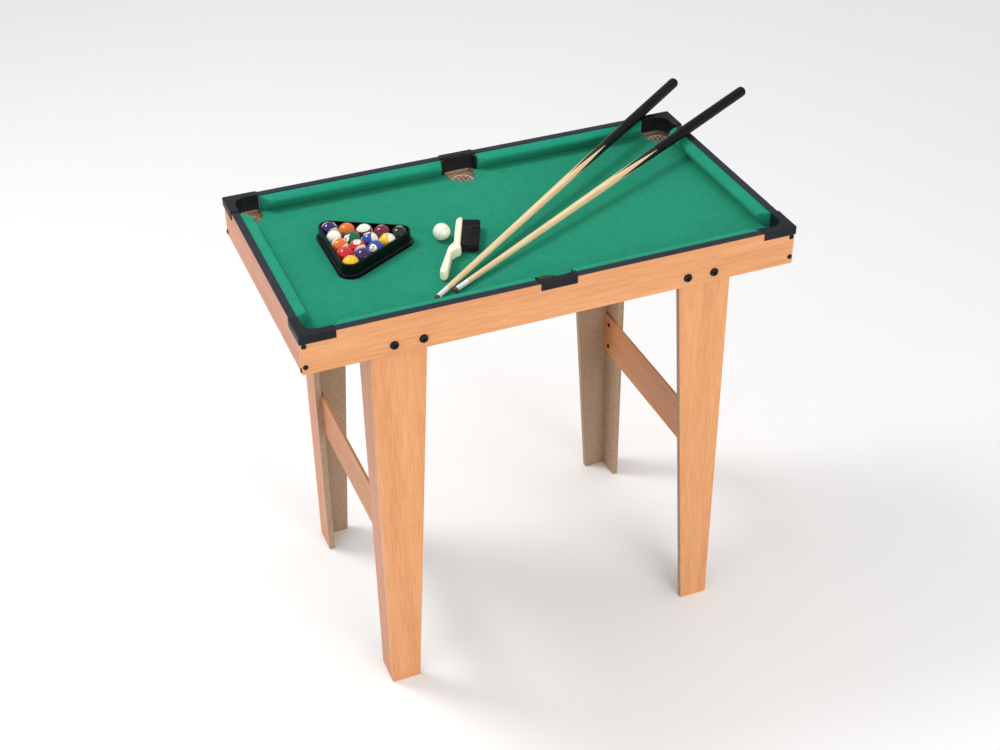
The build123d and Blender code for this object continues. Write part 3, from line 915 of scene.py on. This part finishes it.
def makeHandle():
    mesh = frame["nodes"]["brush_handle"].data.copy()
    merged = bmesh.new()
    merged.from_mesh(mesh)
    bmesh.ops.remove_doubles(merged, verts=merged.verts, dist=1e-5)
    merged.to_mesh(mesh)
    merged.free()
    blank = bpy.data.objects.new("blank", mesh)
    bpy.context.scene.collection.objects.link(blank)
    grid = blank.modifiers.new("grid", "REMESH")
    grid.mode, grid.voxel_size = "VOXEL", handleMake["grid"]
    smooth = blank.modifiers.new("smooth", "SMOOTH")
    smooth.factor, smooth.iterations = 0.5, handleMake["smoothing"]
    result = bpy.data.meshes.new_from_object(blank.evaluated_get(bpy.context.evaluated_depsgraph_get()))
    bpy.data.objects.remove(blank)
    handle = keepMesh("brushHandleIvory", result, "ivory")
    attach(handle, "brush")
    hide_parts("brush_handle")


def bristleTree():
    tree, given = newTree("bristles", brushMake)
    hair = addNode(tree, "GeometryNodeCurvePrimitiveLine", {}, {"End": (1, 0, 0)})
    hair = hair.node("GeometryNodeResampleCurve", {}, {"Curve": hair, "Count": 4})
    run = addNode(tree, "GeometryNodeSplineParameter")
    place = run.node("ShaderNodeCombineXYZ", {}, {0: run * given["Length"], 2: run * run * -0.0006})
    hair = hair.node("GeometryNodeSetPosition", {}, {"Geometry": hair, "Position": place})
    hair = hair.node("GeometryNodeSetCurveRadius", {}, {"Curve": hair, "Radius": 1 - run * 0.35})
    strand = tube(hair, circle(tree, 3, given["Bristle"]), True)
    bed = addNode(tree, "GeometryNodeMeshGrid", {}, {
        "Size X": given["Head"],
        "Size Y": given["Depth"],
        "Vertices X": given["Columns"],
        "Vertices Y": given["Rows"],
    })
    bed = bed.node("GeometryNodeTransform", {}, {"Geometry": bed, "Rotation": (pi / 2, 0, pi / 2)})
    jitter = {"data_type": "FLOAT_VECTOR"}
    shift = addNode(tree, "FunctionNodeRandomValue", jitter, {
        0: (0, -0.0004, -0.0004), 1: (0, 0.0004, 0.0004), "Seed": given["Seed"],
    })
    bed = bed.node("GeometryNodeSetPosition", {}, {"Geometry": bed, "Offset": shift})
    lean = addNode(tree, "FunctionNodeRandomValue", jitter, {
        0: (0, -0.030, -0.045), 1: (0, 0.030, 0.045), "Seed": given["Seed"] + 1,
    })
    size = addNode(tree, "FunctionNodeRandomValue", jitter, {
        0: (0.90, 0.8, 0.8), 1: (1.0, 1.15, 1.15), "Seed": given["Seed"] + 2,
    })
    values = {"Points": bed, "Instance": strand, "Rotation": lean, "Scale": size}
    hairs = bed.node("GeometryNodeInstanceOnPoints", {}, values)
    values = {"Geometry": hairs, "Rotation": given["Turn"], "Translation": given["Centre"]}
    closeTree(tree, hairs.node("GeometryNodeTransform", {}, values), "bristle")
    return tree


def makeBristles():
    low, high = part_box("brush_bristles")
    middle = (low + high) / 2
    turn = brushMake["Turn"][2]
    halfBlock = 0.0165  # half the length of the block that the bristles replace
    root = middle - Vector((cos(turn), sin(turn), 0)) * halfBlock
    sizes = {**brushMake, "Centre": tuple(root)}
    bristles = grown("brushBristles", bristleTree(), sizes, "bristle")
    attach(bristles, "brush")
    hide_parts("brush_bristles")


def ivoryFinish():
    finish, shader, place = newFinish("ivoryPlastic", {"Coat Weight": 0.3, "Coat Roughness": 0.15})
    cloud = noise(place, 45, 4, 0.6)
    feed(shader, Base_Color=mixed(span(cloud, 0.3, 0.7), (0.86, 0.80, 0.58, 1), (0.93, 0.90, 0.72, 1)))
    feed(shader, Roughness=span(cloud, 0.3, 0.7, 0.28, 0.38))
    return finish


def bristleFinish():
    finish, shader, place = newFinish("bristleNylon", {"Specular IOR Level": 0.35})
    values = {"Vector": place, "Angle": -brushMake["Turn"][2]}
    own = place.node("ShaderNodeVectorRotate", {"rotation_type": "Z_AXIS"}, values)
    strand = noise(stretched(own, (25, 900, 900)), 1, 2, 0.6)
    # The lighter dark-grey streaks along the strands are painted glints on the black nylon.
    tone = mixed(span(strand, 0.52, 0.72), (0.0022, 0.0022, 0.0026, 1), (0.060, 0.060, 0.066, 1))
    feed(shader, Base_Color=tone, Roughness=span(strand, 0.3, 0.7, 0.62, 0.45))
    return finish


finishes["ivory"] = ivoryFinish()
finishes["bristle"] = bristleFinish()
makeHandle()
makeBristles()
print("brush made")
